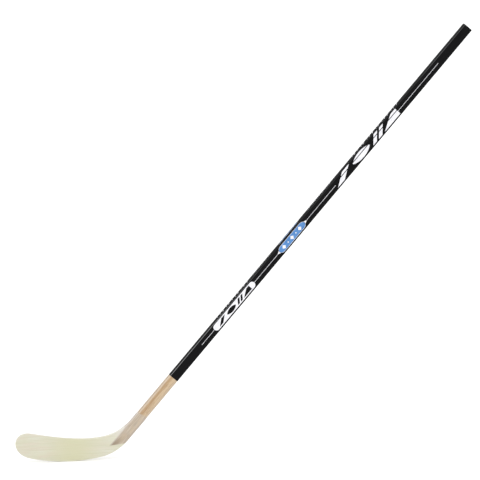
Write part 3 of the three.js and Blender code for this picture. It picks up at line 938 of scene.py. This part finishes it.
WEDGE = [((0, 1), (0, -1), (1, -1), (0.3, 1))]
SLASH = [((0, 1), (0.42, 1), (1, -1), (0.58, -1))]
TWIN_SLASH = [
    ((0, 1), (0.24, 1), (0.62, -1), (0.38, -1)),
    ((0.38, 1), (0.62, 1), (1, -1), (0.76, -1)),
]
LENS = [tuple(
    (0.5 - 0.5 * math.cos(math.pi * k / CURVE_STEPS), side * math.sin(math.pi * k / CURVE_STEPS) ** 1.5)
    for side, steps in ((-1, range(CURVE_STEPS + 1)), (1, range(CURVE_STEPS - 1, 0, -1))) for k in steps
)]
DIAMOND = [((0, 0), (0.5, -1), (1, 0), (0.5, 1))]


def placed(mark, start, length, half_height, middle=0.0):
    return [[(start + u * length, middle + v * half_height) for u, v in outline] for outline in mark]


def clipped(outline, level, side):
    """The part of an outline that lies beyond a level, on one side."""
    kept = []
    for (u0, v0), (u1, v1) in zip(outline, outline[1:] + outline[:1]):
        first, second = side * (v0 - level), side * (v1 - level)
        if first >= 0:
            kept.append((u0, v0))
        if (first > 0) != (second > 0) and first != second:
            share = first / (first - second)
            kept.append((lerp(u0, u1, share), level))
    return kept


def slit(outlines):
    """Outlines with the thin gap cut out of them."""
    halves = [
        clipped(outline, SLIT_MIDDLE + side * SLIT_HALF, side) for outline in outlines for side in (-1, 1)
    ]
    return [half for half in halves if len(half) > 2]


def capsule(start, end, half_height, end_length):
    """A bar with elliptical ends."""
    outline = []
    for middle, side in ((end - end_length, 1), (start + end_length, -1)):
        for k in range(2 * CURVE_STEPS + 1):
            angle = math.pi * (k / (2 * CURVE_STEPS) - 0.5)
            down = middle + side * end_length * math.cos(angle)
            outline.append((down, side * half_height * math.sin(angle)))
    return [outline]


def bar(start, end, half_height):
    return [(start, -half_height), (end, -half_height), (end, half_height), (start, half_height)]


def tick_row(start, end, pitch, half_height):
    """Small leaning ticks of uneven width."""
    outlines = []
    for k in range(int((end - start) / pitch)):
        width = pitch * (0.42 + 0.22 * math.sin(2.4 * k))
        outlines += placed(SLASH, start + k * pitch, width, half_height * (0.85 + 0.15 * math.cos(1.7 * k)))
    return outlines


def wide_face(side):
    return lambda down, sideways, height: (
        on_shaft(SHAFT_END - down, sideways), side * (COAT_DEPTH + height)
    )


def narrow_face(side):
    return lambda down, sideways, height: (
        on_shaft(SHAFT_END - down, side * (COAT_WIDTH + height)), sideways
    )


def printed(name, outlines, face, layer, material, slot):
    """Outlines raised off a face of the shaft by some layers of print."""
    vertices, faces = [], []
    for outline in outlines:
        first, count = len(vertices), len(outline)
        for height in (-INK_SUNK, layer * INK):
            for down, sideways in outline:
                place, y = face(down, sideways, height)
                vertices.append((place[0], y, place[1]))
        faces += tube_faces(2, count, first)
        faces += [tuple(range(first, first + count)), tuple(range(first + count, first + 2 * count))]
    new_piece(name, vertices, faces, material, slot, smooth_below=20)


# The wide faces, from the butt down: a pinstripe, bold marks, a blue panel, and a white panel that holds the
# bold marks again, small and black. The pinstripe runs between them.
STRIPE_START, STRIPE_END = 132 * MM, 1163 * MM
STRIPE_HALF = 0.5 * MM
BOLD_MARKS = (
    (WEDGE, 308 * MM, 376 * MM),
    (TWIN_SLASH, 362 * MM, 426 * MM),
    (LENS, 431 * MM, 503 * MM),
    (SLASH, 510 * MM, 580 * MM),
)
BOLD_START, BOLD_END = BOLD_MARKS[0][1], BOLD_MARKS[-1][2]
BOLD_HALF = 10.4 * MM
BOLD_MIDDLE = 0.8 * MM
SLIT_MIDDLE = 4.2 * MM  # a thin black gap runs through the bold marks, on the throat side of the pinstripe
SLIT_HALF = 1.1 * MM
BLUE_START, BLUE_END = 715 * MM, 824 * MM
BLUE_HALF = 9.6 * MM
WHITE_START, WHITE_END = 935 * MM, 1108 * MM
WHITE_HALF = 9.4 * MM
SMALL_START = 952 * MM
SMALL_SCALE = 0.515
SMALL_HALF = 6.6 * MM

PANEL_RIM = 0.8 * MM
PANEL_TIP = 9 * MM  # how far the pointed ends of the blue panel stand out
PANEL_END = 1.4  # length of the blue panel's elliptical ends, as a share of its half height
PANEL_TIP_BASE = 0.8  # half height of the pointed ends where they meet the panel, as such a share
PANEL_MARKS = ((0.2, 0.66), (0.35, 0.25), (0.505, 0.66), (0.66, 0.25), (0.82, 0.66))  # place and half size

# The narrow faces: four rows of ticks, with a small blue panel in the middle.
LARGE_TICKS, SMALL_TICKS = (13 * MM, 4.2 * MM), (5.5 * MM, 2.4 * MM)  # pitch and half height
TICK_ROWS = (
    (292 * MM, 500 * MM, *LARGE_TICKS),
    (585 * MM, 690 * MM, *SMALL_TICKS),
    (846 * MM, 926 * MM, *SMALL_TICKS),
    (944 * MM, 1092 * MM, *LARGE_TICKS),
)
NARROW_BLUE_START, NARROW_BLUE_END = 728 * MM, 806 * MM
NARROW_BLUE_HALF = 2.7 * MM


def blue_panel(word, face, half_height, start, end):
    """A blue capsule with a white rim and pointed white ends, and a row of white diamonds."""
    base = PANEL_TIP_BASE * half_height
    tips = [
        [(start - PANEL_TIP, 0), (start + PANEL_TIP, -base), (start + PANEL_TIP, base)],
        [(end + PANEL_TIP, 0), (end - PANEL_TIP, base), (end - PANEL_TIP, -base)],
    ]
    end_length = PANEL_END * half_height
    rim = capsule(start, end, half_height, end_length) + tips
    panel = capsule(start + PANEL_RIM, end - PANEL_RIM, half_height - PANEL_RIM, end_length - PANEL_RIM)
    marks = []
    for share, size in PANEL_MARKS:
        mark_half = size * half_height
        marks += placed(DIAMOND, lerp(start, end, share) - mark_half, 2 * mark_half, mark_half)
    printed(f"blue_panel_rim_{word}", rim, face, 1, WHITE_INK, "white_print")
    printed(f"blue_panel_{word}", panel, face, 2, BLUE_INK, "blue_print")
    printed(f"blue_panel_marks_{word}", marks, face, 3, WHITE_INK, "white_print")


def print_wide_face(side, word):
    face = wide_face(side)
    bold, small = [], []
    for mark, start, end in BOLD_MARKS:
        bold += slit(placed(mark, start, end - start, BOLD_HALF, BOLD_MIDDLE))
        small_start = SMALL_START + SMALL_SCALE * (start - BOLD_START)
        small += placed(mark, small_start, SMALL_SCALE * (end - start), SMALL_HALF)
    printed(f"bold_marks_{word}", bold, face, 1, WHITE_INK, "white_print")
    stretches = (
        (STRIPE_START, BOLD_START),
        (BOLD_END, BLUE_START - PANEL_TIP),
        (BLUE_END + PANEL_TIP, WHITE_START),
        (WHITE_END, STRIPE_END),
    )
    stripe = [bar(start, end, STRIPE_HALF) for start, end in stretches]
    printed(f"pinstripe_{word}", stripe, face, 1, WHITE_INK, "white_print")
    blue_panel(word, face, BLUE_HALF, BLUE_START, BLUE_END)
    panel = capsule(WHITE_START, WHITE_END, WHITE_HALF, WHITE_HALF)
    printed(f"white_panel_{word}", panel, face, 1, WHITE_INK, "white_print")
    printed(f"white_panel_marks_{word}", small, face, 2, LACQUER, "black_lacquer")


def print_narrow_face(side, word):
    face = narrow_face(side)
    ticks = [outline for row in TICK_ROWS for outline in tick_row(*row)]
    printed(f"ticks_{word}", ticks, face, 1, WHITE_INK, "white_print")
    blue_panel(word, face, NARROW_BLUE_HALF, NARROW_BLUE_START, NARROW_BLUE_END)


print_wide_face(-1, "front")
print_wide_face(1, "back")
print_narrow_face(1, "throat_side")
print_narrow_face(-1, "heel_side")

# ---------------------------------------------------------------- floor, light and end

WHITE_LIGHT = (1, 1, 1, 1)
FLOOR_REACH = 30.0
FLOOR_GLOW = 0.07  # lifts the faint shadows
WALLS_BELOW, CEILING_ABOVE = 0.05, 0.6  # height of a direction, 1 straight up
WALL_LIGHT, CEILING_LIGHT = 0.3, 1.15
BACKDROP = 1.0  # what the camera sees past the floor
KEY_STRENGTH = 0.9
KEY_SPREAD = math.radians(60)
KEY_DIRECTION = Vector((0.55, 0.5, -0.67))


def add_floor():
    corners = [(x * FLOOR_REACH, y * FLOOR_REACH, 0) for x, y in ((-1, -1), (1, -1), (1, 1), (-1, 1))]
    mesh = new_mesh("floor", corners, [(0, 1, 2, 3)])
    glow = {"Emission_Color": WHITE_LIGHT, "Emission_Strength": FLOOR_GLOW}
    paint = Finish("pale_floor", Specular_IOR_Level=0.0, **glow)
    grain = paint.noise(paint.stretched(paint.position(), 3, 3, 3))
    colour = paint.mix(grain, (0.93, 0.93, 0.93, 1), (0.95, 0.95, 0.95, 1))
    mesh.materials.append(paint.finish(colour, paint.scaled(grain, 0.3, 0.7, 0.8, 0.9)))
    floor = bpy.data.objects.new("floor", mesh)
    bpy.context.scene.collection.objects.link(floor)


def add_world():
    """A bright ceiling over darker walls. Only reflections and soft light see the walls."""
    world = bpy.data.worlds.new("studio")
    world.use_nodes = True
    tree = world.node_tree
    direction = tree.nodes.new("ShaderNodeTexCoord").outputs["Generated"]
    height = tree.nodes.new("ShaderNodeSeparateXYZ")
    tree.links.new(direction, height.inputs[0])
    brightness = tree.nodes.new("ShaderNodeMapRange")
    brightness.interpolation_type = "SMOOTHSTEP"
    ramp = {
        "From Min": WALLS_BELOW, "From Max": CEILING_ABOVE,
        "To Min": WALL_LIGHT, "To Max": CEILING_LIGHT,
    }
    for socket, value in ramp.items():
        brightness.inputs[socket].default_value = value
    tree.links.new(height.outputs["Z"], brightness.inputs["Value"])
    seen = tree.nodes.new("ShaderNodeMix")
    seen.inputs["B"].default_value = BACKDROP
    tree.links.new(tree.nodes.new("ShaderNodeLightPath").outputs["Is Camera Ray"], seen.inputs["Factor"])
    tree.links.new(brightness.outputs["Result"], seen.inputs["A"])
    background = tree.nodes["Background"]
    background.inputs["Color"].default_value = WHITE_LIGHT
    tree.links.new(seen.outputs["Result"], background.inputs["Strength"])
    bpy.context.scene.world = world


def add_key():
    key = bpy.data.objects.new("key", bpy.data.lights.new("key", "SUN"))
    key.data.energy = KEY_STRENGTH
    key.data.angle = KEY_SPREAD
    key.rotation_mode = "QUATERNION"
    key.rotation_quaternion = KEY_DIRECTION.to_track_quat("-Z", "Y")
    bpy.context.scene.collection.objects.link(key)


add_floor()
add_world()
add_key()
bpy.context.scene.view_settings.view_transform = "Standard"
